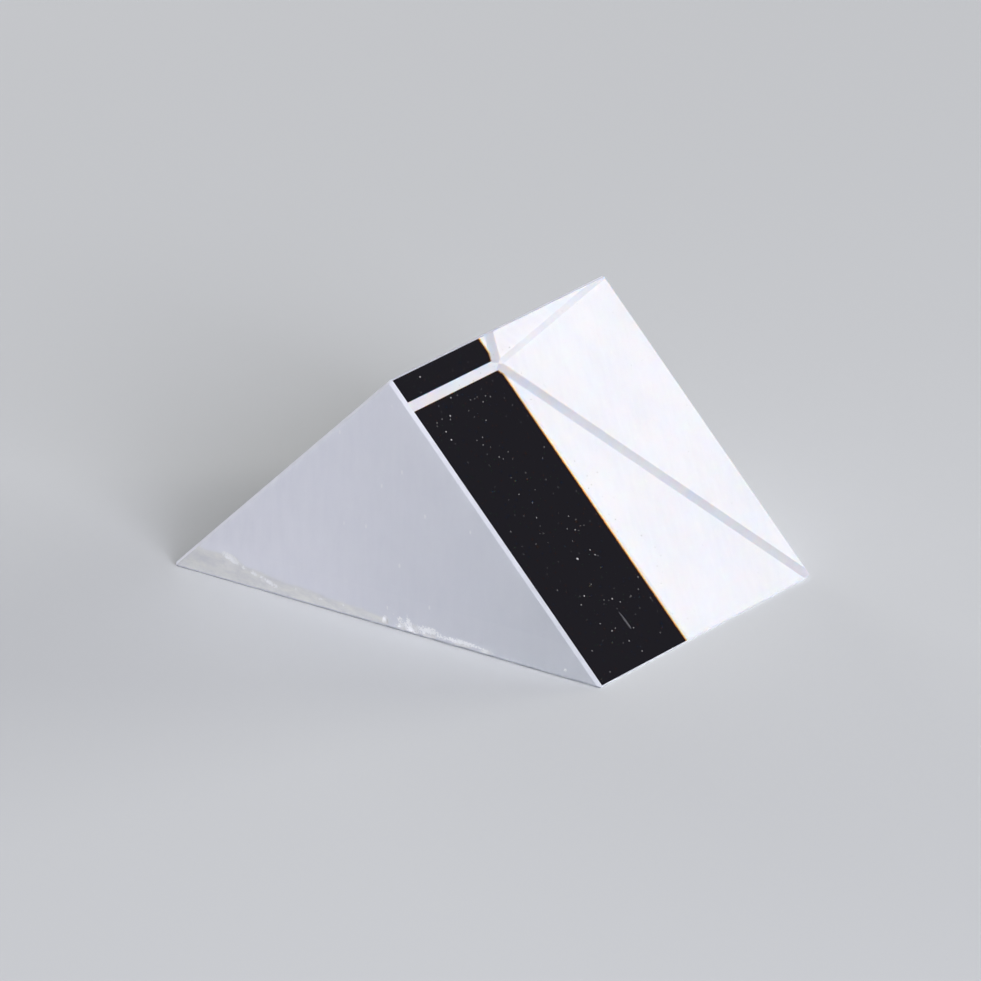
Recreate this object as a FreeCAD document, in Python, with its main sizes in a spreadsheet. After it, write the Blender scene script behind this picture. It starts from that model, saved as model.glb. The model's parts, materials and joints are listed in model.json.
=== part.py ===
import FreeCAD, Part
import os
import Sketcher

# Right-angle prism, ground from one block of optical crown glass.
# It lies on its wide (hypotenuse) face. X runs across that face, Y runs along the
# prism from the near ground end to the far one, and Z points up to the roof edge.
# The origin is the middle of the wide face.

NODE = "prism"

# Driving sizes in millimetres. A bevel is given by how far it reaches along each
# of the two faces that it joins. Each was ground by hand and differs a little, and
# the one under the far end reaches further along the wide face than up the end.
# Heights are measured from the wide face, and places along the chipped edge from
# the prism's near left-hand corner.
SIZES = [
    ("leg_width", 20.0, "each leg face, from the sharp roof edge to the sharp base edge"),
    ("prism_length", 20.0, "from the near ground end to the far one"),
    ("near_leg_bevel", 0.176, "two sloping edges of the near end"),
    ("near_base_bevel", 0.165, "lower edge of the near end"),
    ("far_leg_bevel", 0.175, "two sloping edges of the far end"),
    ("far_base_bevel_reach", 0.58, "lower edge of the far end, along the wide face"),
    ("far_base_bevel_rise", 0.28, "lower edge of the far end, up the end"),
    ("left_base_bevel", 0.30, "left-hand long edge of the wide face"),
    ("right_base_bevel", 0.22, "right-hand long edge of the wide face"),
    ("roof_bevel", 0.12, "roof edge"),
    ("worn_facet_length", 14.1, "worn facet, along the near lower edge"),
    ("worn_facet_tall_end", 1.75, "top of the worn facet at the corner"),
    ("worn_facet_low_end", 0.48, "top of the worn facet where it stops"),
    ("worn_facet_depth", 0.05, "worn off the near end at the corner's lower edge"),
    ("flake_depth", 0.06, "deepest point of each flake below the near end"),
]

# Shell-shaped flakes broken out of the near end, most of them along its lower edge
FLAKES = [
    {"place": 4.05, "top": 1.56, "width": 1.10},
    {"place": 6.20, "top": 1.06, "width": 0.60},
    {"place": 14.15, "top": 0.56, "width": 0.40},
    {"place": 15.25, "top": 0.45, "width": 0.56},
    {"place": 16.00, "top": 0.58, "width": 0.70},
    {"place": 17.05, "top": 0.56, "width": 0.95},
    {"place": 19.20, "top": 0.44, "width": 1.50},
    {"place": 20.75, "top": 0.33, "width": 1.00},
]


def make_sheet(doc):
    """Return the spreadsheet that holds every driving size under its own alias."""
    sheet = doc.addObject("Spreadsheet::Sheet", "sizes")
    rows = list(SIZES)
    for number, flake in enumerate(FLAKES, 1):
        for what, value in flake.items():
            rows.append((f"flake_{number}_{what}", value, f"{what} of flake {number}"))
    for row, (alias, value, note) in enumerate(rows, 1):
        sheet.set(f"A{row}", alias)
        sheet.set(f"B{row}", str(value))
        sheet.set(f"C{row}", note)
        sheet.setAlias(f"B{row}", alias)
    doc.recompute()
    return sheet


def new_sketch(body, name, plane_role):
    """Return an empty sketch on one of the body's own origin planes."""
    plane = next(item for item in body.Origin.OriginFeatures if item.Role == plane_role)
    sketch = body.newObject("Sketcher::SketchObject", name)
    sketch.AttachmentSupport = [(plane, "")]
    sketch.MapMode = "FlatFace"
    return sketch


def draw_outline(sketch, corners):
    """Draw straight lines through the corners, closed, and return their numbers."""
    ends = corners[1:] + corners[:1]
    lines = []
    for start, end in zip(corners, ends):
        line = Part.LineSegment(FreeCAD.Vector(*start, 0), FreeCAD.Vector(*end, 0))
        lines.append(sketch.addGeometry(line))
    for line, following in zip(lines, lines[1:] + lines[:1]):
        sketch.addConstraint(Sketcher.Constraint("Coincident", line, 2, following, 1))
    return lines


def dimension(sketch, name, constraint, formula):
    """Add a named dimension to a sketch and bind it to the sheet."""
    index = sketch.addConstraint(constraint)
    sketch.renameConstraint(index, name)
    sketch.setExpression(f"Constraints.{name}", formula)


def add_block(body, sheet):
    """Pad the sharp right-angled section to the prism's length."""
    half_base = sheet.leg_width * 2 ** 0.5 / 2
    sketch = new_sketch(body, "section", "XZ_Plane")
    left, right, roof = (-half_base, 0), (half_base, 0), (0, half_base)
    base, right_leg, left_leg = draw_outline(sketch, [left, right, roof])
    sketch.addConstraint(Sketcher.Constraint("PointOnObject", base, 1, -1))
    sketch.addConstraint(Sketcher.Constraint("PointOnObject", base, 2, -1))
    sketch.addConstraint(Sketcher.Constraint("PointOnObject", right_leg, 2, -2))
    sketch.addConstraint(Sketcher.Constraint("Perpendicular", right_leg, left_leg))
    dimension(sketch, "leg", Sketcher.Constraint("Distance", right_leg, sheet.leg_width), "sizes.leg_width")
    pad = body.newObject("PartDesign::Pad", "block")
    pad.Profile = sketch
    pad.SideType = "Symmetric"
    pad.setExpression("Length", "sizes.prism_length")
    body.Document.recompute()
    return pad


def add_leg_bevels(body, name, side):
    """Chamfer the two sloping edges of one end. Side is -1 for the near end, 1 for the far end."""
    before = body.Tip
    end_y = side * body.Document.sizes.prism_length / 2
    names = []
    for number, edge in enumerate(before.Shape.Edges, 1):
        middle = edge.CenterOfMass
        if abs(middle.y - end_y) < 1e-6 and abs(middle.z) > 1e-6:
            names.append(f"Edge{number}")
    chamfer = body.newObject("PartDesign::Chamfer", f"{name}s")
    chamfer.Base = (before, names)
    chamfer.setExpression("Size", f"sizes.{name}")
    body.Document.recompute()
    return chamfer


def cut_through(body, sketch, name):
    """Cut a sketch's outlines out of the glass, right through it both ways."""
    pocket = body.newObject("PartDesign::Pocket", name)
    pocket.Profile = sketch
    pocket.Type = "ThroughAll"
    pocket.SideType = "Symmetric"
    body.Document.recompute()
    return pocket


def add_base_bevels(body, sheet):
    """Grind the lower edges of both ends flat, right across the prism."""
    half_length = sheet.prism_length / 2
    sketch = new_sketch(body, "base_edge_cuts", "YZ_Plane")
    for side, name, reach, rise in (
        (-1, "near", "near_base_bevel", "near_base_bevel"),
        (1, "far", "far_base_bevel_reach", "far_base_bevel_rise"),
    ):
        along, up = getattr(sheet, reach), getattr(sheet, rise)
        corner, on_base = (side * half_length, 0), (side * (half_length - along), 0)
        along_base, _, along_end = draw_outline(sketch, [corner, on_base, (side * half_length, up)])
        sketch.addConstraint(Sketcher.Constraint("PointOnObject", along_base, 1, -1))
        sketch.addConstraint(Sketcher.Constraint("PointOnObject", along_base, 2, -1))
        sketch.addConstraint(Sketcher.Constraint("Vertical", along_end))
        place = Sketcher.Constraint("Distance", along_base, 1, -1, 1, half_length)
        dimension(sketch, f"{name}_corner", place, "sizes.prism_length / 2")
        cut = Sketcher.Constraint("Distance", along_base, along)
        dimension(sketch, f"{name}_base_cut", cut, f"sizes.{reach}")
        cut = Sketcher.Constraint("Distance", along_end, up)
        dimension(sketch, f"{name}_end_cut", cut, f"sizes.{rise}")
    return cut_through(body, sketch, "base_bevels")


def add_long_bevels(body, sheet):
    """Grind the three long edges flat from end to end, cutting each corner off the section."""
    half_base = sheet.leg_width * 2 ** 0.5 / 2
    diagonal = 2 ** 0.5 / 2
    roof_cut = sheet.roof_bevel
    sketch = new_sketch(body, "long_edge_cuts", "XZ_Plane")

    for side, name in ((-1, "left"), (1, "right")):
        size = f"{name}_base_bevel"
        base_cut = getattr(sheet, size)
        corner = (side * half_base, 0)
        on_base = (side * (half_base - base_cut), 0)
        on_leg = (side * (half_base - base_cut * diagonal), base_cut * diagonal)
        along_base, _, along_leg = draw_outline(sketch, [corner, on_base, on_leg])
        sketch.addConstraint(Sketcher.Constraint("PointOnObject", along_base, 1, -1))
        sketch.addConstraint(Sketcher.Constraint("PointOnObject", along_base, 2, -1))
        reach = Sketcher.Constraint("Distance", along_base, 1, -1, 1, half_base)
        dimension(sketch, f"{name}_corner", reach, "sizes.leg_width / sqrt(2)")
        cut = Sketcher.Constraint("Distance", along_base, base_cut)
        dimension(sketch, f"{name}_base_cut", cut, f"sizes.{size}")
        cut = Sketcher.Constraint("Distance", along_leg, base_cut)
        dimension(sketch, f"{name}_leg_cut", cut, f"sizes.{size}")
        rise = Sketcher.Constraint("DistanceY", along_leg, 2, along_leg, 1, base_cut * diagonal)
        dimension(sketch, f"{name}_leg_rise", rise, f"sizes.{size} / sqrt(2)")

    low = half_base - roof_cut * diagonal
    corners = [(0, half_base), (-roof_cut * diagonal, low), (roof_cut * diagonal, low)]
    left_side, across, right_side = draw_outline(sketch, corners)
    sketch.addConstraint(Sketcher.Constraint("PointOnObject", left_side, 1, -2))
    sketch.addConstraint(Sketcher.Constraint("Horizontal", across))
    sketch.addConstraint(Sketcher.Constraint("Perpendicular", left_side, right_side))
    reach = Sketcher.Constraint("Distance", left_side, 1, -1, 1, half_base)
    dimension(sketch, "roof_corner", reach, "sizes.leg_width / sqrt(2)")
    cut = Sketcher.Constraint("Distance", left_side, roof_cut)
    dimension(sketch, "roof_cut", cut, "sizes.roof_bevel")
    return cut_through(body, sketch, "long_bevels")


def facet_section(body, sheet, name, place, top):
    """Draw the waste below the worn facet at one place along the near lower edge."""
    near_y = -sheet.prism_length / 2
    slope = sheet.worn_facet_depth / sheet.worn_facet_tall_end
    clear = sheet.worn_facet_tall_end
    height = getattr(sheet, top)
    sketch = new_sketch(body, name, "YZ_Plane")
    sketch.setExpression("AttachmentOffset.Base.z", f"{place} - sizes.leg_width / sqrt(2)")
    corners = [(near_y, height), (near_y - clear, -clear), (near_y + slope * (height + clear), -clear)]
    outer, below, facet = draw_outline(sketch, corners)
    sketch.addConstraint(Sketcher.Constraint("Horizontal", below))
    level = Sketcher.Constraint("DistanceY", -1, 1, outer, 1, height)
    dimension(sketch, "top", level, f"sizes.{top}")
    near = Sketcher.Constraint("DistanceX", outer, 1, -1, 1, -near_y)
    dimension(sketch, "near_face", near, "sizes.prism_length / 2")
    drop = Sketcher.Constraint("DistanceY", facet, 1, -1, 1, clear)
    dimension(sketch, "below_base", drop, "sizes.worn_facet_tall_end")
    width = Sketcher.Constraint("DistanceX", outer, 2, outer, 1, clear)
    dimension(sketch, "in_front", width, "sizes.worn_facet_tall_end")
    lean = Sketcher.Constraint("DistanceX", facet, 2, facet, 1, slope * (height + clear))
    formula = f"sizes.worn_facet_depth * (sizes.{top} / sizes.worn_facet_tall_end + 1)"
    dimension(sketch, "lean", lean, formula)
    return sketch


def add_worn_facet(body, sheet):
    """Cut the long shallow facet that rubbing left along the near lower edge."""
    tall = facet_section(body, sheet, "facet_tall_end", "0", "worn_facet_tall_end")
    low = facet_section(body, sheet, "facet_low_end", "sizes.worn_facet_length", "worn_facet_low_end")
    loft = body.newObject("PartDesign::SubtractiveLoft", "worn_facet")
    loft.Profile = tall
    loft.Sections = [low]
    loft.Ruled = True
    body.Document.recompute()
    return loft


def add_flake(body, number):
    """Break one shell-shaped flake out of the near end with a shallow ball cut."""
    flake = body.newObject("PartDesign::SubtractiveSphere", f"flake_{number}")
    half_width = f"sizes.flake_{number}_width / 2"
    radius = f"((({half_width}) ^ 2 + sizes.flake_depth ^ 2) / (2 * sizes.flake_depth))"
    flake.setExpression("Radius", f"{radius} * 1 mm")
    flake.setExpression("Placement.Base.x", f"sizes.flake_{number}_place - sizes.leg_width / sqrt(2)")
    flake.setExpression("Placement.Base.y", f"sizes.flake_depth - sizes.prism_length / 2 - {radius}")
    flake.setExpression("Placement.Base.z", f"sizes.flake_{number}_top - {half_width}")
    body.Document.recompute()
    return flake


def check_cut(body, before):
    """Stop if the last feature took nothing off the glass."""
    if body.Tip.Shape.Volume >= before:
        raise RuntimeError(f"{body.Tip.Name} cut nothing")
    return body.Tip.Shape.Volume


def build_prism(doc, sheet):
    """Build the one glass body: block, ground bevels, then wear and chips."""
    body = doc.addObject("PartDesign::Body", "prism_body")
    body.Label = NODE
    volume = add_block(body, sheet).Shape.Volume
    for name, side in (("near_leg_bevel", -1), ("far_leg_bevel", 1)):
        add_leg_bevels(body, name, side)
        volume = check_cut(body, volume)
    add_base_bevels(body, sheet)
    volume = check_cut(body, volume)
    add_long_bevels(body, sheet)
    volume = check_cut(body, volume)
    add_worn_facet(body, sheet)
    volume = check_cut(body, volume)
    for number in range(1, len(FLAKES) + 1):
        add_flake(body, number)
        volume = check_cut(body, volume)
    return body


def check_document(doc):
    """Stop if any object of the document failed to build."""
    for item in doc.Objects:
        faults = {"Invalid", "Error"} & set(item.State)
        if faults:
            raise RuntimeError(f"{item.Name} is {sorted(faults)}")


def write_step(body):
    """Write the body's solid to the file that its label names."""
    shape = body.Shape
    if shape.isNull() or not shape.isValid() or len(shape.Solids) != 1:
        raise RuntimeError(f"{body.Label} is not one sound solid")
    os.makedirs("parts", exist_ok=True)
    shape.exportStep(f"parts/{body.Label}.step")
    print(f"{body.Label}: {shape.Volume:.3f} mm3, {len(shape.Faces)} faces")


def main():
    doc = FreeCAD.newDocument("right_angle_prism")
    sheet = make_sheet(doc)
    body = build_prism(doc, sheet)
    body.Placement = FreeCAD.Placement()
    doc.recompute()
    check_document(doc)
    write_step(body)


main()
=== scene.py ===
"""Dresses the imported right-angle prism: its glass, the dust on it, and a small studio stage."""

import json
import math
import random

import bmesh
import bpy
from bpy.props import FloatProperty, FloatVectorProperty, IntProperty, PointerProperty
from mathutils import Matrix, Vector, noise


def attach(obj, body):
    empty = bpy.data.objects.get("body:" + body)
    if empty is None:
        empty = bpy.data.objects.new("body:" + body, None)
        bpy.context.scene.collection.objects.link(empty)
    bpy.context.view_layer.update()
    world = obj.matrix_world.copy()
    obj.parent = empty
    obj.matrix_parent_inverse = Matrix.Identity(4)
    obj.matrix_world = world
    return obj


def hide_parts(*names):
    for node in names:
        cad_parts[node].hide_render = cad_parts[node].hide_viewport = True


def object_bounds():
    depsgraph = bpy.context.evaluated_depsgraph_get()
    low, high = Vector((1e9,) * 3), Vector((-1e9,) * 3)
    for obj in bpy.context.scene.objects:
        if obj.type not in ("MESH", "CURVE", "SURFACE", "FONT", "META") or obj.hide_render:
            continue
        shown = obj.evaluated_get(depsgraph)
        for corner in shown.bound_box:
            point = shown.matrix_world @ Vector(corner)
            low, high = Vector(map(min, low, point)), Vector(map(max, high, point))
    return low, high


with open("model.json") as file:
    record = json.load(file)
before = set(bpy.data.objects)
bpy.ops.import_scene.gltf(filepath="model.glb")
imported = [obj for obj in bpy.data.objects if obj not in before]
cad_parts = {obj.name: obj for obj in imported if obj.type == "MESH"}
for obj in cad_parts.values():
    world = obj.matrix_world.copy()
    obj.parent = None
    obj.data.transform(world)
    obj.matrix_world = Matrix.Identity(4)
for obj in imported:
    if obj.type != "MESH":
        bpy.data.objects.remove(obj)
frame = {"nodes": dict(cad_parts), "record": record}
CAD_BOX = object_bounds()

bl_info = {
    "name": "Right-angle prism dressing",
    "version": (1, 0, 0),
    "blender": (4, 5, 0),
    "location": "3D View > Sidebar > Prism",
    "description": "Polished and ground crown glass, dust and a studio stage for a right-angle prism",
    "category": "Object",
}

MM = 0.001
NODE = "prism"
BODY = "root"

# Corners nearer to each other than the first are one corner. The others are how near a flake's
# corners lie to its sphere, a polished face to its plane, and a cut to a corner that it runs through.
WELD = 1e-4 * MM
ON_SPHERE = 2 * WELD
ON_PLANE = 1e-3 * MM
CUT_SNAP = 1e-6 * MM

# The cosine between two directions that are the same, all but the same, and nearly the same.
EXACT = 0.99999
SAME_WAY = 0.9999
NEARLY = 0.99

# A face at the foot of the near end points forward by more than the first of these and aside by less
# than the second, and lies no deeper than the third.
FOOT_FORWARD = 0.8
FOOT_ASIDE = 0.69
FOOT_DEPTH = 0.09 * MM

# Faces that meet at less than the first angle are merged, and an edge sharper than the second is hard.
FLAT_ANGLE = math.radians(0.05)
SOFT_ANGLE = math.radians(25)


def mount_place(name):
    """Return a mount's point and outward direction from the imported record."""
    mount = next(m for m in frame["record"]["mounts"] if m["name"] == name)
    return Vector(mount["pos_m"]), Vector(mount["axis"]).normalized()


# Where the leg faces look, how far they are from the middle of the wide face, the height at which a
# sharp roof edge would stand, and the near end's place.
RIGHT_POINT, RIGHT_OUT = mount_place("right_leg_face")
LEFT_OUT = mount_place("left_leg_face")[1]
LEG_REACH = RIGHT_POINT.dot(RIGHT_OUT)
ROOF_Z = LEG_REACH * math.sqrt(2)
NEAR_Y = mount_place("near_end")[0].y

# The tables of wear and dust are in millimetres, and "along" is measured on the near lower edge, from
# its left-hand corner.

# The flakes of the CAD solid, which are parts of spheres: along, top, width.
FLAKE_DEPTH = 0.06 * MM
FLAKES = [
    (4.05, 1.56, 1.10), (6.20, 1.06, 0.60), (14.15, 0.56, 0.40), (15.25, 0.45, 0.56),
    (16.00, 0.58, 0.70), (17.05, 0.56, 0.95), (19.20, 0.44, 1.50), (20.75, 0.33, 1.00),
]

# The worn facet's upper border: its height at the left-hand corner, its fall for each millimetre
# along, and how far above and below it the mesh goes along with its wandering.
BORDER_TOP = 1.75
BORDER_FALL = 0.09
BORDER_REACH = 0.45

# How far that border wanders off its straight line: along, shift up.
BORDER_WANDER = [
    (0.0, 0.0), (1.0, 0.0), (1.9, -0.10), (3.5, 0.10), (4.97, -0.15), (6.03, -0.14), (7.36, -0.20),
    (9.21, -0.04), (10.54, -0.10), (11.85, 0.0), (13.0, 0.05), (14.1, 0.0),
]

# Bruises above the near lower edge: along, height, reach along, reach up, lean, strength. Where they
# add up to 1 or more, the glass is crushed white.
BRUISES = [
    (4.08, 1.34, 0.36, 0.21, -0.10, 1.45), (3.64, 1.45, 0.33, 0.18, -0.10, 0.95),
    (5.50, 0.99, 0.20, 0.15, -0.35, 0.90), (6.40, 0.77, 0.36, 0.16, -0.35, 0.92),
    (6.85, 0.58, 0.22, 0.12, -0.30, 0.80), (5.95, 0.86, 1.30, 0.32, -0.35, 0.24),
    (4.90, 1.10, 0.50, 0.25, -0.30, 0.26), (8.60, 0.62, 1.30, 0.24, -0.10, 0.32),
    (10.6, 0.45, 1.10, 0.26, -0.06, 0.33), (12.6, 0.42, 1.20, 0.24, -0.04, 0.32),
    (14.15, 0.50, 0.16, 0.18, 0.0, 1.00), (15.20, 0.42, 0.60, 0.34, 0.0, 0.45),
    (15.95, 0.46, 0.60, 0.36, 0.0, 0.46), (17.05, 0.55, 0.62, 0.20, 0.0, 1.00),
    (16.30, 0.26, 1.10, 0.14, 0.0, 0.40), (18.00, 0.34, 0.70, 0.16, 0.0, 0.42),
    (19.20, 0.38, 0.95, 0.15, 0.0, 1.10), (20.80, 0.32, 0.90, 0.14, 0.0, 0.52),
    (22.6, 0.26, 1.00, 0.14, 0.0, 0.40), (25.86, 0.52, 0.14, 0.14, 0.0, 0.85),
    (2.30, 0.95, 1.10, 0.40, -0.10, 0.24), (12.6, 0.95, 0.10, 0.22, 0.0, 0.55),
    (13.5, 1.00, 0.10, 0.24, 0.0, 0.50), (14.3, 1.15, 0.12, 0.30, 0.0, 0.55),
    (14.7, 0.95, 0.10, 0.22, 0.0, 0.60), (15.6, 1.05, 0.10, 0.26, 0.0, 0.50),
    (15.1, 0.72, 0.16, 0.14, 0.0, 0.75), (15.7, 0.70, 0.12, 0.18, 0.0, 0.80),
    (4.80, 1.14, 0.11, 0.09, 0.0, 0.80), (5.95, 0.90, 0.10, 0.09, 0.0, 0.75),
    (6.90, 0.60, 0.12, 0.09, 0.0, 0.70), (8.30, 0.80, 0.14, 0.08, 0.0, 0.60),
    (9.90, 0.62, 0.16, 0.08, 0.0, 0.55), (11.4, 0.58, 0.14, 0.08, 0.0, 0.60),
]

# The wandering starts at the top of the near lower bevel, this far above the wide face, and is full
# the second length higher. Within the third length of the worn strip's top nothing moves.
BEVEL_TOP = 0.17 * MM
FOOT_FADE = 0.3 * MM
TOP_ROOM = 0.01 * MM

# The rubbed look fades at its rim by so many passes over the mesh.
RIM_PASSES = 3

# A bruise's dents are 0.2 mm wide. The rub's waves are 0.8 mm wide, and so deep.
DENTS_PER_MM = 5.0
WAVES_PER_MM = 1.3
WAVE_START = (7, 3, 1)
WAVE_DEPTH = 0.006 * MM

# Grains on the right-hand leg face: down from the sharp roof, back from the near end, radius.
RIGHT_FACE_GRAINS = [
    (3.20, 2.44, 0.055), (3.87, 1.41, 0.050), (4.38, 1.38, 0.055), (3.22, 1.22, 0.032),
    (3.31, 5.36, 0.038), (5.39, 3.33, 0.034), (6.97, 7.42, 0.034), (6.55, 4.04, 0.034),
    (0.59, 2.22, 0.050), (13.16, 4.40, 0.075), (13.41, 5.82, 0.040), (13.05, 5.71, 0.034),
    (11.72, 5.63, 0.036), (11.48, 5.12, 0.032), (15.53, 7.73, 0.040), (15.93, 4.91, 0.058),
    (16.28, 5.32, 0.040), (15.78, 4.31, 0.034), (15.45, 2.51, 0.040), (15.10, 3.14, 0.046),
    (17.45, 3.40, 0.038), (18.35, 4.10, 0.040), (17.90, 1.11, 0.036), (19.15, 4.51, 0.036),
    (19.34, 1.35, 0.034),
]

# The two ends of the tuft of lint: down from the sharp roof, back from the near end.
LINT_START = (16.71, 4.74)
LINT_END = (17.83, 4.80)

# The stray grains lie so far down and back, and on the right-hand face only in its near half. The
# smallest has the first radius, and the largest both radii added up.
DUST_SEED = 11
STRAY_REACH = (1, 19)
NEAR_HALF = 10.5
STRAY_RADIUS = 0.018
STRAY_GROWTH = 0.020

# The camera's lens and place in millimetres, and two of its directions, fitted to the photograph's
# edges.
LENS = 492.71
SENSOR = 36.0
CAMERA_PLACE = (381.823, -550.840, 272.166)
CAMERA_RIGHT = (0.81676, 0.57661, 0.02073)
CAMERA_BACK = (0.52936, -0.76315, 0.37066)

# The softboxes: side, direction from the prism, distance and size in metres, colour.
SOFTBOXES = [
    ("back", (0.52, 0.85, 0.10), 1.0, (0.7, 0.19), "#fffef8"),
    ("left", (-0.90, 0.40, 0.045), 0.3, (0.15, 0.04), "#fffdfa"),
    ("right", (0.80, -0.42, 0.42), 1.0, (0.4, 0.4), "#f6f6ff"),
    ("top", (0.30, -0.30, 0.90), 1.0, (0.5, 0.5), "#ffffff"),
]


def linear(hex_colour):
    """Turn an sRGB hex colour into linear red, green and blue."""
    parts = [int(hex_colour[i:i + 2], 16) / 255 for i in (1, 3, 5)]
    return tuple(p / 12.92 if p <= 0.04045 else ((p + 0.055) / 1.055) ** 2.4 for p in parts)


def add_node(tree, kind, sockets=None, **settings):
    """Add one node with its settings, fill its sockets, and link those given another node's output."""
    node = tree.nodes.new(kind)
    for name, value in settings.items():
        setattr(node, name, value)
    for key, value in (sockets or {}).items():
        socket = node.inputs[key]
        if isinstance(value, bpy.types.NodeSocket):
            tree.links.new(value, socket)
        elif socket.type == "RGBA":
            socket.default_value = (*value, 1.0)
        else:
            socket.default_value = value
    return node


def new_material(name):
    """Return an empty node material and its tree."""
    material = bpy.data.materials.new(name)
    material.use_nodes = True
    material.node_tree.nodes.clear()
    return material, material.node_tree


def millimetres(tree, stretch=(1.0, 1.0, 1.0), turn=(0.0, 0.0, 0.0)):
    """Return the piece's own coordinates in millimetres, so that a scale of 1 / size gives that size."""
    place = add_node(tree, "ShaderNodeTexCoord").outputs["Object"]
    scale = [s / MM for s in stretch]
    return add_node(tree, "ShaderNodeMapping", {
        "Vector": place, "Rotation": turn, "Scale": scale}).outputs["Vector"]


def polished_crown_glass(settings):
    """Optical crown glass, ground flat, polished on a pitch lap, and coated with one thin layer.

    It is water clear, and a mirror from inside at a shallow angle. The quarter-wave coat keeps
    the weak reflections at steeper angles down. Light splits into its colours where it enters,
    so a dark edge seen through the glass has a thin orange fringe. Handling leaves a film that
    dims it a little in soft patches, and specks of fine dust that show where it is dark.
    """
    material, tree = new_material("polished_crown_glass")
    # A film in soft patches about 5 mm wide.
    place = millimetres(tree)
    patches = add_node(tree, "ShaderNodeTexNoise", {
        "Vector": place, "Scale": 0.2, "Detail": 3.0, "Roughness": 0.55}).outputs["Fac"]
    film = add_node(tree, "ShaderNodeMapRange", {
        "Value": patches, "From Min": 0.40, "From Max": 0.75,
        "To Min": 0.0, "To Max": settings.film}).outputs[0]
    # Red bends least and blue most. Three overlapping bands of colour, which add up to white,
    # have an index each, because wider bands leave less coloured noise.
    half = settings.colour_spread / 2
    split = None
    for colour, shift in (((0.8, 0.2, 0.0), -half), ((0.2, 0.6, 0.2), 0.0), ((0.0, 0.2, 0.8), half)):
        veiled = add_node(tree, "ShaderNodeMix", {
            "Factor": film, "A": colour, "B": (0.0, 0.0, 0.0)}, data_type="RGBA").outputs["Result"]
        band = add_node(tree, "ShaderNodeBsdfRefraction", {
            "Color": veiled, "Roughness": 0.0, "IOR": settings.index + shift}).outputs[0]
        if split is None:
            split = band
        else:
            split = add_node(tree, "ShaderNodeAddShader", {0: split, 1: band}).outputs[0]
    whole = add_node(tree, "ShaderNodeBsdfRefraction", {
        "Color": (1.0, 1.0, 1.0), "Roughness": 0.0, "IOR": settings.index}).outputs[0]
    leaving = add_node(tree, "ShaderNodeNewGeometry").outputs["Backfacing"]
    bent = add_node(tree, "ShaderNodeMixShader", {0: leaving, 1: split, 2: whole}).outputs[0]
    # Inside, a power leaves total reflection at 1 and takes weaker ones down, as the coat does.
    bare = add_node(tree, "ShaderNodeFresnel", {"IOR": settings.index}).outputs[0]
    power = add_node(tree, "ShaderNodeMapRange", {
        "Value": leaving, "To Min": 1.0, "To Max": settings.coat}).outputs[0]
    coated = add_node(tree, "ShaderNodeMath", {0: bare, 1: power}, operation="POWER").outputs[0]
    mirror = add_node(tree, "ShaderNodeBsdfAnisotropic", {
        "Color": (1.0, 1.0, 1.0), "Roughness": 0.0}).outputs[0]
    clear = add_node(tree, "ShaderNodeMixShader", {0: coated, 1: bent, 2: mirror}).outputs[0]
    # Dust specks 0.05 mm wide and about 1 mm apart.
    cells = add_node(tree, "ShaderNodeTexVoronoi", {
        "Vector": place, "Scale": 0.9, "Randomness": 1.0}).outputs["Distance"]
    specks = add_node(tree, "ShaderNodeMapRange", {
        "Value": cells, "From Min": 0.020, "From Max": 0.035, "To Min": 0.16, "To Max": 0.0}).outputs[0]
    haze = add_node(tree, "ShaderNodeBsdfDiffuse", {"Color": settings.dust_colour}).outputs[0]
    surface = add_node(tree, "ShaderNodeMixShader", {0: specks, 1: clear, 2: haze}).outputs[0]
    add_node(tree, "ShaderNodeOutputMaterial", {"Surface": surface})
    return material


def frosted_surface(tree, colour, normal, through, shine):
    """Finish a tree with a face that scatters light back and through, and has a weak broad gloss."""
    back = add_node(tree, "ShaderNodeBsdfDiffuse", {"Color": colour, "Normal": normal}).outputs[0]
    ahead = add_node(tree, "ShaderNodeBsdfTranslucent", {"Color": colour, "Normal": normal}).outputs[0]
    body = add_node(tree, "ShaderNodeMixShader", {0: through, 1: back, 2: ahead}).outputs[0]
    gloss = add_node(tree, "ShaderNodeBsdfAnisotropic", {
        "Color": (1.0, 1.0, 1.0), "Roughness": 0.45, "Normal": normal}).outputs[0]
    surface = add_node(tree, "ShaderNodeMixShader", {0: shine, 1: body, 2: gloss}).outputs[0]
    add_node(tree, "ShaderNodeOutputMaterial", {"Surface": surface})


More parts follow.
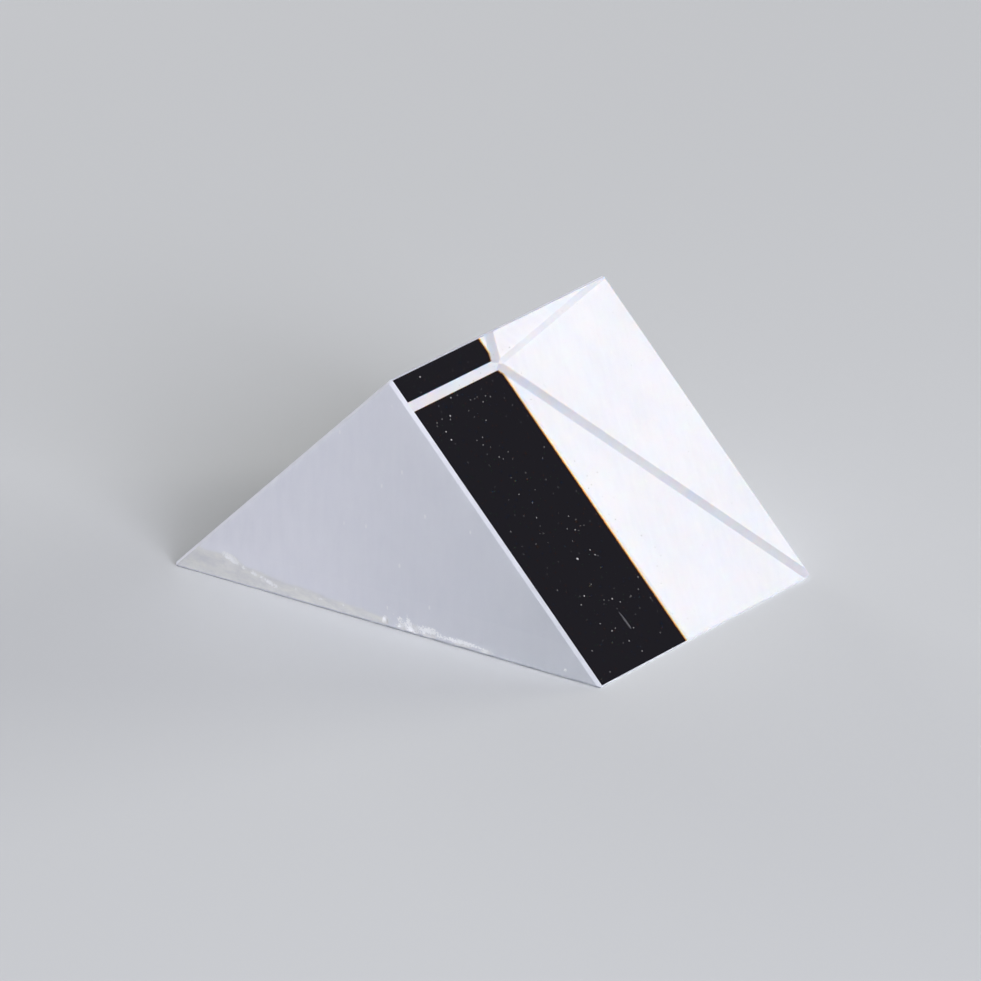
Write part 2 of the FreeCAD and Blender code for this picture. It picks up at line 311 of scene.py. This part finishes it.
def ground_pattern(tree, settings):
    """Return the colour of freshly ground glass, with painted shade towards the near right-hand corner,
    and its fine relief.
    """
    place = millimetres(tree)
    # The real grain is about 0.02 mm, too fine to show, so it is drawn nearly two pixels wide, and
    # turned, so that its rows don't line up with a face.
    grain = add_node(tree, "ShaderNodeTexNoise", {
        "Vector": millimetres(tree, turn=(0.6, 0.4, 0.9)),
        "Scale": MM / settings.grain, "Detail": 2.0}).outputs["Fac"]
    # Soft blotches 3 mm wide, and upright marks 0.5 mm apart that only the end faces show.
    blotch = add_node(tree, "ShaderNodeTexNoise", {
        "Vector": place, "Scale": 0.35, "Detail": 2.0}).outputs["Fac"]
    marks = add_node(tree, "ShaderNodeTexNoise", {
        "Vector": millimetres(tree, (1.8, 0.0, 0.45)),
        "Scale": 1.0, "Detail": 3.0, "Roughness": 0.6}).outputs["Fac"]
    shade = add_node(tree, "ShaderNodeMath", {0: blotch, 1: marks}, operation="MULTIPLY").outputs[0]
    tone = add_node(tree, "ShaderNodeMix", {
        "Factor": shade, "A": settings.ground_colour, "B": settings.ground_shade},
        data_type="RGBA").outputs["Result"]
    # Painted shade: the frost is drawn darker towards the near right-hand corner.
    corner = (12.0, -10.0, 1.5)
    reach = add_node(tree, "ShaderNodeVectorMath", {
        0: place, 1: corner}, operation="DISTANCE").outputs["Value"]
    painted_corner_shade = add_node(tree, "ShaderNodeMapRange", {
        "Value": reach, "From Min": 2.0, "From Max": 22.0,
        "To Min": settings.painted_corner_shade, "To Max": 0.0}).outputs[0]
    tone = add_node(tree, "ShaderNodeMix", {
        "Factor": painted_corner_shade, "A": tone, "B": settings.painted_corner_shade_colour}, data_type="RGBA").outputs["Result"]
    # Bright upright pits 0.1 mm wide and more than a millimetre apart.
    cells = add_node(tree, "ShaderNodeTexVoronoi", {
        "Vector": millimetres(tree, (1.0, 1.0, 0.55)), "Scale": 0.8}).outputs["Distance"]
    pits = add_node(tree, "ShaderNodeMapRange", {
        "Value": cells, "From Min": 0.03, "From Max": 0.07, "To Min": 0.5, "To Max": 0.0}).outputs[0]
    tone = add_node(tree, "ShaderNodeMix", {
        "Factor": pits, "A": tone, "B": settings.bruise_colour}, data_type="RGBA").outputs["Result"]
    return tone, grain


def ground_crown_glass(settings):
    """Optical crown glass, fine-ground with loose grit and left unpolished.

    The pitted skin scatters light both ways, so it looks like matt grey-white frost with a fine
    grain, faint upright marks from the lap and a rare bright pit.
    """
    material, tree = new_material("ground_crown_glass")
    tone, grain = ground_pattern(tree, settings)
    bump = add_node(tree, "ShaderNodeBump", {
        "Height": grain, "Strength": 0.25, "Distance": 0.02 * MM}).outputs["Normal"]
    frosted_surface(tree, tone, bump, settings.see_through, shine=0.03)
    return material


def worn_crown_glass(settings):
    """Ground crown glass whose lower edge was rubbed and knocked in use.

    The rub leaves a mottled grey, drawn slightly warmer than fresh grinding as painted light for
    the tilted facet, and each knock a white powdery bruise that breaks up into specks at its rim.
    """
    material, tree = new_material("worn_crown_glass")
    tone, grain = ground_pattern(tree, settings)
    place = millimetres(tree)
    # Mottling 1 to 2 mm long and half as high.
    mottle = add_node(tree, "ShaderNodeTexNoise", {
        "Vector": millimetres(tree, (0.6, 1.0, 1.6)),
        "Scale": 1.0, "Detail": 4.0, "Roughness": 0.65}).outputs["Fac"]
    mottle = add_node(tree, "ShaderNodeMapRange", {
        "Value": mottle, "From Min": 0.35, "From Max": 0.65}).outputs[0]
    # Partly painted light: the rubbed grey is drawn warmer than fresh frost, as if the tilted facet were
    # lit from another direction.
    worn = add_node(tree, "ShaderNodeMix", {
        "Factor": mottle, "A": settings.rubbed_and_painted_light_colour, "B": settings.worn_shade},
        data_type="RGBA").outputs["Result"]
    rubbed = add_node(tree, "ShaderNodeAttribute", attribute_name="rubbed").outputs["Fac"]
    tone = add_node(tree, "ShaderNodeMix", {
        "Factor": rubbed, "A": tone, "B": worn}, data_type="RGBA").outputs["Result"]
    # Crushed specks 0.1 mm wide, thick where the bruise is strong. They let no light through.
    specks = add_node(tree, "ShaderNodeTexNoise", {
        "Vector": place, "Scale": 10.0, "Detail": 2.0, "Roughness": 0.6}).outputs["Fac"]
    specks = add_node(tree, "ShaderNodeMapRange", {
        "Value": specks, "From Min": 0.32, "From Max": 0.68}).outputs[0]
    bruise = add_node(tree, "ShaderNodeAttribute", attribute_name="bruise").outputs["Fac"]
    reach = add_node(tree, "ShaderNodeMath", {
        0: specks, 1: 1.3, 2: 0.4}, operation="MULTIPLY_ADD").outputs[0]
    reach = add_node(tree, "ShaderNodeMath", {0: reach, 1: bruise}, operation="MULTIPLY").outputs[0]
    white = add_node(tree, "ShaderNodeMapRange", {
        "Value": reach, "From Min": 0.50, "From Max": 0.72}).outputs[0]
    tone = add_node(tree, "ShaderNodeMix", {
        "Factor": white, "A": tone, "B": settings.bruise_colour}, data_type="RGBA").outputs["Result"]
    through = add_node(tree, "ShaderNodeMapRange", {
        "Value": white, "To Min": settings.see_through, "To Max": 0.0}).outputs[0]
    relief = add_node(tree, "ShaderNodeMath", {0: specks, 1: bruise}, operation="MULTIPLY").outputs[0]
    relief = add_node(tree, "ShaderNodeMath", {
        0: relief, 1: 0.8, 2: grain}, operation="MULTIPLY_ADD").outputs[0]
    bump = add_node(tree, "ShaderNodeBump", {
        "Height": relief, "Strength": 0.25, "Distance": 0.02 * MM}).outputs["Normal"]
    frosted_surface(tree, tone, bump, through, shine=0.06)
    return material


def dust_material(settings):
    """Room dust: mineral grit and fluff that has settled.

    It is matt and dull, and its grains run from pale grey to a browner mid grey.
    """
    material, tree = new_material("settled_room_dust")
    # The tint changes about every 0.6 mm, so from one grain to the next.
    tint = add_node(tree, "ShaderNodeTexNoise", {
        "Vector": millimetres(tree), "Scale": 1.7, "Detail": 2.0}).outputs["Fac"]
    colour = add_node(tree, "ShaderNodeMix", {
        "Factor": tint, "A": settings.pale_colour, "B": settings.dark_colour},
        data_type="RGBA").outputs["Result"]
    surface = add_node(tree, "ShaderNodeBsdfDiffuse", {"Color": colour}).outputs[0]
    add_node(tree, "ShaderNodeOutputMaterial", {"Surface": surface})
    return material


def lint_material(settings):
    """Grey cotton lint: loose fibres twisted into a tuft.

    It is matt and dark grey, lighter and darker by turns along its length, and lets some light
    through its fibres.
    """
    material, tree = new_material("cotton_lint")
    # Strands about 0.1 mm apart.
    strands = add_node(tree, "ShaderNodeTexNoise", {
        "Vector": millimetres(tree), "Scale": 9.0, "Detail": 2.0}).outputs["Fac"]
    pale = [1.35 * part for part in settings.lint_colour]
    dark = [0.65 * part for part in settings.lint_colour]
    colour = add_node(tree, "ShaderNodeMix", {
        "Factor": strands, "A": pale, "B": dark}, data_type="RGBA").outputs["Result"]
    back = add_node(tree, "ShaderNodeBsdfDiffuse", {"Color": colour}).outputs[0]
    ahead = add_node(tree, "ShaderNodeBsdfTranslucent", {"Color": colour}).outputs[0]
    surface = add_node(tree, "ShaderNodeMixShader", {0: 0.3, 1: back, 2: ahead}).outputs[0]
    add_node(tree, "ShaderNodeOutputMaterial", {"Surface": surface})
    return material


def floor_material(settings):
    """Matt laminate sheet: an even pale grey with no gloss and the faintest cloudiness."""
    material, tree = new_material("matt_laminate")
    # Clouds 100 mm wide.
    cloud = add_node(tree, "ShaderNodeTexNoise", {
        "Vector": millimetres(tree), "Scale": 0.01, "Detail": 2.0}).outputs["Fac"]
    darker = [0.97 * part for part in settings.floor_colour]
    colour = add_node(tree, "ShaderNodeMix", {
        "Factor": cloud, "A": settings.floor_colour, "B": darker}, data_type="RGBA").outputs["Result"]
    surface = add_node(tree, "ShaderNodeBsdfDiffuse", {"Color": colour}).outputs[0]
    add_node(tree, "ShaderNodeOutputMaterial", {"Surface": surface})
    return material


def link_mesh(name, skin, materials):
    """Make an object of a bmesh, at the origin."""
    mesh = bpy.data.meshes.new(name)
    skin.to_mesh(mesh)
    skin.free()
    for material in materials:
        mesh.materials.append(material)
    made = bpy.data.objects.new(name, mesh)
    bpy.context.scene.collection.objects.link(made)
    return made


def finish_piece(name, skin, materials):
    """Make a piece of a bmesh, which rides on the prism's body."""
    piece = link_mesh(name, skin, materials)
    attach(piece, BODY)
    return piece


def edge_place(point):
    """Return a point's place along the near lower edge from the left-hand corner, in millimetres."""
    return (point.x + ROOF_Z) / MM


def blend_between(table, place):
    """Read a table of (place, value) pairs at a place, with straight lines between them."""
    if not table[0][0] <= place <= table[-1][0]:
        return 0.0
    for (start, low), (end, high) in zip(table, table[1:]):
        if place <= end:
            return low + (high - low) * (place - start) / (end - start)
    return 0.0


def on_flake(face):
    """Tell whether every corner of a face lies on one of the shell-shaped flakes."""
    for place, top, width in FLAKES:
        half = width * MM / 2
        radius = (half ** 2 + FLAKE_DEPTH ** 2) / (2 * FLAKE_DEPTH)
        centre = Vector((place * MM - ROOF_Z, NEAR_Y + FLAKE_DEPTH - radius, top * MM - half))
        if all(abs((v.co - centre).length - radius) < ON_SPHERE for v in face.verts):
            return True
    return False


def is_polished(face):
    """Tell whether a face lies in the wide face or in one of the two leg faces."""
    middle = face.calc_center_median()
    if face.normal.z < -SAME_WAY:
        return abs(middle.z) < ON_PLANE
    leg_out = RIGHT_OUT if face.normal.x > 0 else LEFT_OUT
    return face.normal.dot(leg_out) > SAME_WAY and abs(middle.dot(leg_out) - LEG_REACH) < ON_PLANE


POLISHED, GROUND, WORN = range(3)


def mark_finishes(skin):
    """Give each face of the merged CAD skin its finish, and return the layer that tells the facet."""
    facet = skin.faces.layers.int.new("facet")
    for face in skin.faces:
        on_near = abs(face.calc_center_median().y - NEAR_Y) < WELD and face.normal.y < -EXACT
        if is_polished(face):
            face.material_index = POLISHED
        elif on_flake(face) or (face.normal.y < -NEARLY and not on_near):
            face.material_index = WORN
            face[facet] = 1
        else:
            face.material_index = GROUND
    return facet


def cut_across(skin, faces, point, direction):
    """Cut some faces with a plane and keep both sides."""
    parts = set(faces)
    for face in faces:
        parts.update(face.edges)
        parts.update(face.verts)
    bmesh.ops.bisect_plane(skin, geom=list(parts), dist=CUT_SNAP, plane_co=point, plane_no=direction)


def near_end_faces(skin, below):
    """Return the faces of the near end, with its facet and flakes, whose middles are below a height."""
    found = []
    for face in skin.faces:
        middle = face.calc_center_median()
        normal = face.normal
        forward = normal.y < -FOOT_FORWARD and abs(normal.x) + abs(normal.z) < FOOT_ASIDE
        if forward and middle.y < NEAR_Y + FOOT_DEPTH and middle.z < below:
            found.append(face)
    return found


def grid_worn_strip(skin, settings):
    """Cut the foot of the near end, with its facet and flakes, into small squares."""
    top = settings.worn_height
    step = settings.worn_step
    cut_across(skin, near_end_faces(skin, ROOF_Z), (0, 0, top), (0, 0, 1))
    for face in near_end_faces(skin, top):
        face.material_index = WORN
    for row in range(1, int(top / step)):
        cut_across(skin, near_end_faces(skin, top), (0, 0, row * step), (0, 0, 1))
    for column in range(1, int(2 * ROOF_Z / step)):
        x = column * step - ROOF_Z
        strip = []
        for face in near_end_faces(skin, top):
            if min(v.co.x for v in face.verts) < x < max(v.co.x for v in face.verts):
                strip.append(face)
        if strip:
            cut_across(skin, strip, (x, 0, 0), (1, 0, 0))


def bruise_strength(place, height):
    """Add up the bruises at a point of the near end: 0 is sound, 1 is crushed white."""
    total = 0.0
    for at, level, along, up, lean, strength in BRUISES:
        across = (place - at) / along
        above = (height - level - lean * (place - at)) / up
        total += strength * math.exp(-(across ** 2 + above ** 2))
    return min(total, 1.0)


def weather_worn_strip(skin, facet, settings):
    """Let the facet's border wander, roughen the bruises, and note both for the material."""
    rubbed = skin.verts.layers.float.new("rubbed")
    bruise = skin.verts.layers.float.new("bruise")
    foot = min(v.co.z for v in skin.verts) + BEVEL_TOP
    strip = [v for v in skin.verts if any(f.material_index == WORN for f in v.link_faces)]
    members = set(strip)
    for vert in strip:
        place, height = edge_place(vert.co), vert.co.z / MM
        vert[bruise] = bruise_strength(place, height)
        shares = [f[facet] for f in vert.link_faces if f.material_index == WORN]
        vert[rubbed] = sum(shares) / len(shares)
    for _ in range(RIM_PASSES):
        for vert in strip:
            around = [edge.other_vert(vert) for edge in vert.link_edges]
            around = [other[rubbed] for other in around if other in members]
            vert[rubbed] = 0.5 * vert[rubbed] + 0.5 * sum(around) / len(around)
    for vert in strip:
        place, height = edge_place(vert.co), vert.co.z / MM
        if any(f.material_index != WORN for f in vert.link_faces):
            continue
        if vert.co.z > settings.worn_height - TOP_ROOM:
            continue
        border = BORDER_TOP - BORDER_FALL * place
        fade = min(1.0, (vert.co.z - foot) / FOOT_FADE)
        share = math.exp(-((height - border) / BORDER_REACH) ** 2) * fade
        vert.co.z += max(share, 0.0) * blend_between(BORDER_WANDER, place) * MM
        spot = Vector((place, height, 0.0))
        dent = 0.5 + 0.5 * noise.fractal(spot * DENTS_PER_MM, 1.0, 2.0, 3)
        wave = 0.5 + 0.5 * noise.noise(spot * WAVES_PER_MM + Vector(WAVE_START))
        vert.co.y += dent * vert[bruise] * settings.bruise_depth + wave * vert[rubbed] * WAVE_DEPTH


def shade_skin(skin):
    """Shade the worn strip softly, and every other face flat, with hard edges between them."""
    for face in skin.faces:
        face.smooth = face.material_index == WORN
    for edge in skin.edges:
        soft = all(face.smooth for face in edge.link_faces)
        edge.smooth = soft and edge.calc_face_angle(0.0) < SOFT_ANGLE


def make_prism_glass(settings):
    """Copy the prism's CAD skin, and finish it in polished, ground and worn glass."""
    skin = bmesh.new()
    skin.from_mesh(frame["nodes"][NODE].data)
    bmesh.ops.remove_doubles(skin, verts=skin.verts, dist=WELD)
    bmesh.ops.dissolve_limit(skin, angle_limit=FLAT_ANGLE, verts=skin.verts, edges=skin.edges)
    skin.normal_update()
    facet = mark_finishes(skin)
    grid_worn_strip(skin, settings)
    bmesh.ops.dissolve_degenerate(skin, dist=2 * WELD, edges=skin.edges)
    weather_worn_strip(skin, facet, settings)
    # Faces with a finely cut side are filled with well-shaped triangles.
    many_sided = [face for face in skin.faces if len(face.verts) > 4]
    bmesh.ops.triangulate(skin, faces=many_sided, quad_method="BEAUTY", ngon_method="BEAUTY")
    shade_skin(skin)
    if any(len(edge.link_faces) != 2 for edge in skin.edges):
        raise RuntimeError("the prism's skin is not closed")
    materials = [polished_crown_glass(settings), ground_crown_glass(settings), worn_crown_glass(settings)]
    piece = finish_piece("prism_glass", skin, materials)
    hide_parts(NODE)
    return piece


def leg_face_point(down, along, side=1):
    """Return a point on a leg face: millimetres down from the sharp roof, and back from the near end."""
    slope = down * MM / math.sqrt(2)
    return Vector((side * slope, NEAR_Y + along * MM, ROOF_Z - slope))


def add_grain(skin, seed, point, outward, radius):
    """Settle one uneven grain on a face, half as high as wide, and sunk by a fifth of its radius."""
    flatness, lift = 0.5, 0.3
    grown = bmesh.ops.create_icosphere(skin, subdivisions=1, radius=radius)["verts"]
    for vert in grown:
        vert.co *= seed.uniform(0.72, 1.18)
    spin = Matrix.Rotation(seed.uniform(0, math.tau), 4, "Z")
    turn = outward.to_track_quat("Z", "Y").to_matrix().to_4x4() @ spin
    shape = Matrix.Diagonal((seed.uniform(0.8, 1.3), seed.uniform(0.7, 1.0), flatness, 1.0))
    place = Matrix.Translation(point + outward * radius * lift)
    bmesh.ops.transform(skin, matrix=place @ turn @ shape, verts=grown)


def make_dust_specks(settings):
    """Scatter grains of dust on the faces, thickest on the right-hand leg face."""
    seed = random.Random(DUST_SEED)
    skin = bmesh.new()
    for down, along, radius in RIGHT_FACE_GRAINS:
        add_grain(skin, seed, leg_face_point(down, along), RIGHT_OUT, radius * MM * settings.grain_size)
    nearest, farthest = STRAY_REACH
    for _ in range(settings.stray_grains):
        # Two grains in three settle on the right-hand face.
        side = seed.choice((1, 1, -1))
        outward, back = (RIGHT_OUT, NEAR_HALF) if side == 1 else (LEFT_OUT, farthest)
        down = seed.uniform(nearest, farthest)
        along = seed.uniform(nearest, back)
        radius = (STRAY_RADIUS + STRAY_GROWTH * seed.random() ** 2) * MM * settings.grain_size
        add_grain(skin, seed, leg_face_point(down, along, side), outward, radius)
    return finish_piece("dust_specks", skin, [dust_material(settings)])


def make_lint_fibre(settings):
    """Lay one short tuft of lint on the right-hand leg face, thicker towards its lower end."""
    start = leg_face_point(*LINT_START)
    end = leg_face_point(*LINT_END)
    length = (end - start).length
    along = (end - start).normalized()
    thick = settings.lint_thickness
    half_width, half_height, lift = 0.5, 0.35, 0.12
    skin = bmesh.new()
    verts = bmesh.ops.create_uvsphere(skin, u_segments=10, v_segments=14, radius=1.0)["verts"]
    for vert in verts:
        # The share of the way to the lower end, where the tuft is twice as thick as at the upper one.
        share = (vert.co.z + 1) / 2
        swell = 0.6 + 0.6 * share + 0.2 * noise.noise(vert.co * 3.0)
        sway = 0.04 * thick * math.sin(share * 5.0)
        across = vert.co.x * thick * swell * half_width + sway
        above = vert.co.y * thick * swell * half_height
        vert.co = Vector((across, above, (share - 0.5) * length))
    turn = Matrix((RIGHT_OUT.cross(along), RIGHT_OUT, along)).transposed()
    place = Matrix.Translation((start + end) / 2 + RIGHT_OUT * thick * lift) @ turn.to_4x4()
    bmesh.ops.transform(skin, matrix=place, verts=verts)
    bmesh.ops.recalc_face_normals(skin, faces=skin.faces)
    return finish_piece("lint_fibre", skin, [lint_material(settings)])


def make_floor(settings):
    """Lay the pale floor, with the thin gap of air that lets the wide face reflect as a mirror."""
    skin = bmesh.new()
    bmesh.ops.create_grid(skin, x_segments=1, y_segments=1, size=settings.floor_size / 2)
    bmesh.ops.translate(skin, verts=skin.verts, vec=(0, 0, CAD_BOX[0][2] - settings.air_gap))
    floor = link_mesh("floor", skin, [floor_material(settings)])


def add_softbox(name, direction, distance, size, power, colour):
    """Hang one soft lamp in a direction from the prism, facing it, and keep it out of the picture."""
    lamp = bpy.data.lights.new(name, "AREA")
    lamp.shape = "RECTANGLE"
    lamp.size, lamp.size_y = size
    lamp.energy = power
    lamp.color = colour
    holder = bpy.data.objects.new(name, lamp)
    towards = Vector(direction).normalized()
    turn = towards.to_track_quat("Z", "Y").to_matrix().to_4x4()
    aim = Vector((0, 0, ROOF_Z / 2))
    holder.matrix_world = Matrix.Translation(aim + towards * distance) @ turn
    holder.visible_camera = False
    bpy.context.scene.collection.objects.link(holder)


def make_camera():
    """Set the camera where the photograph's was: a long lens, high to the right of the near end."""
    lens = bpy.data.cameras.new("camera")
    lens.sensor_width = SENSOR
    lens.lens = LENS
    camera = bpy.data.objects.new("camera", lens)
    right = Vector(CAMERA_RIGHT).normalized()
    back = Vector(CAMERA_BACK).normalized()
    up = back.cross(right).normalized()
    turn = Matrix((right, up, back)).transposed()
    camera.matrix_world = Matrix.Translation(Vector(CAMERA_PLACE) * MM) @ turn.to_4x4()
    bpy.context.scene.collection.objects.link(camera)
    bpy.context.scene.camera = camera


def make_room(settings):
    """Fill the room round the floor with one dim colour."""
    world = bpy.data.worlds.new("room")
    world.use_nodes = True
    tree = world.node_tree
    tree.nodes.clear()
    room = add_node(tree, "ShaderNodeBackground", {
        "Color": settings.room_colour, "Strength": 1.0}).outputs[0]
    add_node(tree, "ShaderNodeOutputWorld", {"Surface": room})
    bpy.context.scene.world = world


class PrismGlassSettings(bpy.types.PropertyGroup):
    """Sizes and colours of the glass"""
    index: FloatProperty(
        name="Refractive index", description="For green light; optical crown glass has 1.517 to 1.519",
        default=1.5187, min=1.3, max=2.0, precision=4)
    colour_spread: FloatProperty(
        name="Colour spread", description="How much higher the index is for blue light than for red",
        default=0.012, min=0.0, max=0.1, precision=4)
    coat: FloatProperty(
        name="Coat", description="Power that the coat raises weak inner reflections to, 1 for bare glass",
        default=3.0, min=1.0, max=4.0)
    film: FloatProperty(
        name="Film", description="Share of light that the handling film takes where it is thickest",
        default=0.02, min=0.0, max=0.2, subtype="FACTOR", precision=3)
    see_through: FloatProperty(
        name="Frost transmission", description="Share of light that passes a ground face",
        default=0.55, min=0.0, max=1.0, subtype="FACTOR")
    grain: FloatProperty(
        name="Grinding grain", description="Width of the ground faces' grain as drawn",
        default=0.09 * MM, min=0.01 * MM, unit="LENGTH", precision=5)
    worn_height: FloatProperty(
        name="Worn strip", description="Height of the strip at the near lower edge that is shaped by wear",
        default=2.0 * MM, min=1.8 * MM, max=6.0 * MM, unit="LENGTH", precision=4)
    worn_step: FloatProperty(
        name="Wear detail", description="Width of the small squares that the worn strip is cut into",
        default=0.12 * MM, min=0.06 * MM, max=0.5 * MM, unit="LENGTH", precision=5)
    bruise_depth: FloatProperty(
        name="Bruise depth", description="Deepest dent of a bruise",
        default=0.04 * MM, min=0.0, max=0.06 * MM, unit="LENGTH", precision=5)
    ground_colour: FloatVectorProperty(
        name="Ground glass", description="Fresh ground glass",
        default=linear("#f6f7ff"), min=0, max=1, subtype="COLOR")
    ground_shade: FloatVectorProperty(
        name="Ground shade", description="Streaks and blotches in it",
        default=linear("#e6e8f3"), min=0, max=1, subtype="COLOR")
    # Painted shade: how far the frost is drawn darker towards the near right-hand corner.
    painted_corner_shade: FloatProperty(
        name="Grease", description="How far handling grease darkens the frost at the near right corner",
        default=0.55, min=0.0, max=1.0, subtype="FACTOR")
    # The colour of that painted shade at the near right-hand corner.
    painted_corner_shade_colour: FloatVectorProperty(
        name="Greasy frost", description="Ground glass with its pits filled",
        default=linear("#bdc3ca"), min=0, max=1, subtype="COLOR")
    # Partly painted light: rubbed glass drawn warmer than fresh frost, for the light on the tilted facet.
    rubbed_and_painted_light_colour: FloatVectorProperty(
        name="Rubbed glass", description="The worn facet",
        default=linear("#f4f4f2"), min=0, max=1, subtype="COLOR")
    worn_shade: FloatVectorProperty(
        name="Rubbed shade", description="Mottling of the worn facet",
        default=linear("#e3e4e8"), min=0, max=1, subtype="COLOR")
    bruise_colour: FloatVectorProperty(
        name="Bruise", description="Crushed glass in bruises and pits",
        default=linear("#fcfdff"), min=0, max=1, subtype="COLOR")
    dust_colour: FloatVectorProperty(
        name="Fine dust", description="Specks of dust too fine to model",
        default=linear("#c9cbd2"), min=0, max=1, subtype="COLOR")


class PrismDustSettings(bpy.types.PropertyGroup):
    """Sizes and colours of the dust"""
    grain_size: FloatProperty(
        name="Grain size", description="Size of all grains, 1 as measured",
        default=1.0, min=0.2, max=4.0)
    stray_grains: IntProperty(
        name="Stray grains", description="Small grains on both leg faces",
        default=180, min=0, max=400)
    lint_thickness: FloatProperty(
        name="Lint thickness", description="Thickness of the tuft of lint",
        default=0.14 * MM, min=0.02 * MM, max=0.5 * MM, unit="LENGTH", precision=5)
    pale_colour: FloatVectorProperty(
        name="Pale dust", description="Mineral grains",
        default=linear("#b0b0b4"), min=0, max=1, subtype="COLOR")
    dark_colour: FloatVectorProperty(
        name="Dark dust", description="Fluff and soot",
        default=linear("#85827f"), min=0, max=1, subtype="COLOR")
    lint_colour: FloatVectorProperty(
        name="Lint", description="Cotton lint, on average",
        default=linear("#5a5a5e"), min=0, max=1, subtype="COLOR")


class PrismStageSettings(bpy.types.PropertyGroup):
    """Sizes and colours of the stage"""
    floor_size: FloatProperty(
        name="Floor", description="Side of the square floor",
        default=6.0, min=1.0, unit="LENGTH")
    air_gap: FloatProperty(
        name="Air gap", description="Air between the wide face and the floor",
        default=0.02 * MM, min=0.001 * MM, max=1.0 * MM, unit="LENGTH", precision=6)
    floor_colour: FloatVectorProperty(
        name="Floor colour", description="Pale matt floor",
        default=linear("#c8cacc"), min=0, max=1, subtype="COLOR")
    room_colour: FloatVectorProperty(
        name="Room colour", description="The dim room round the floor",
        default=linear("#201f24"), min=0, max=1, subtype="COLOR")
    back_power: FloatProperty(
        name="Back softbox", description="Low lamp behind the prism, in watts",
        default=12.4, min=0.0)
    left_power: FloatProperty(
        name="Left softbox", description="Low lamp close by, to the left of the prism, in watts",
        default=0.78, min=0.0)
    right_power: FloatProperty(
        name="Right softbox", description="Lamp to the right of the prism, in watts",
        default=9.3, min=0.0)
    top_power: FloatProperty(
        name="Top softbox", description="Lamp over the prism and to the near right, in watts",
        default=5.4, min=0.0)


class PRISM_OT_dress_glass(bpy.types.Operator):
    """Make the prism's glass from its CAD solid"""
    bl_idname = "prism.dress_glass"
    bl_label = "Dress the glass"

    def execute(self, context):
        make_prism_glass(context.scene.prism_glass)
        return {"FINISHED"}


class PRISM_OT_scatter_dust(bpy.types.Operator):
    """Scatter dust and lint on the prism's faces"""
    bl_idname = "prism.scatter_dust"
    bl_label = "Scatter dust"

    def execute(self, context):
        make_dust_specks(context.scene.prism_dust)
        make_lint_fibre(context.scene.prism_dust)
        return {"FINISHED"}


class PRISM_OT_set_stage(bpy.types.Operator):
    """Lay the floor, hang the lamps, and set the camera"""
    bl_idname = "prism.set_stage"
    bl_label = "Set the stage"

    def execute(self, context):
        settings = context.scene.prism_stage
        make_floor(settings)
        for side, direction, distance, size, colour in SOFTBOXES:
            power = getattr(settings, side + "_power")
            add_softbox(side + "_softbox", direction, distance, size, power, linear(colour))
        make_camera()
        make_room(settings)
        context.scene.view_settings.view_transform = "Standard"
        return {"FINISHED"}


class PRISM_PT_dressing(bpy.types.Panel):
    """Sizes, colours and steps of the prism's dressing"""
    bl_label = "Prism"
    bl_space_type = "VIEW_3D"
    bl_region_type = "UI"
    bl_category = "Prism"

    def draw(self, context):
        for operator, settings in STEPS:
            box = self.layout.box()
            box.operator(operator.bl_idname)
            for name in settings.__annotations__:
                box.prop(getattr(context.scene, SCENE_NAMES[settings]), name)


STEPS = [
    (PRISM_OT_dress_glass, PrismGlassSettings),
    (PRISM_OT_scatter_dust, PrismDustSettings),
    (PRISM_OT_set_stage, PrismStageSettings),
]
SCENE_NAMES = {
    PrismGlassSettings: "prism_glass",
    PrismDustSettings: "prism_dust",
    PrismStageSettings: "prism_stage",
}
CLASSES = [*SCENE_NAMES, *(operator for operator, _ in STEPS), PRISM_PT_dressing]


def register():
    """Register the classes, and give the scene its three groups of settings."""
    for cls in CLASSES:
        bpy.utils.register_class(cls)
    for settings, name in SCENE_NAMES.items():
        setattr(bpy.types.Scene, name, PointerProperty(type=settings))


def unregister():
    """Take the settings and the classes away again."""
    for name in SCENE_NAMES.values():
        delattr(bpy.types.Scene, name)
    for cls in reversed(CLASSES):
        bpy.utils.unregister_class(cls)


def main():
    """Make the pieces and the stage."""
    register()
    bpy.ops.prism.dress_glass()
    bpy.ops.prism.scatter_dust()
    bpy.ops.prism.set_stage()


if __name__ == "__main__":
    main()
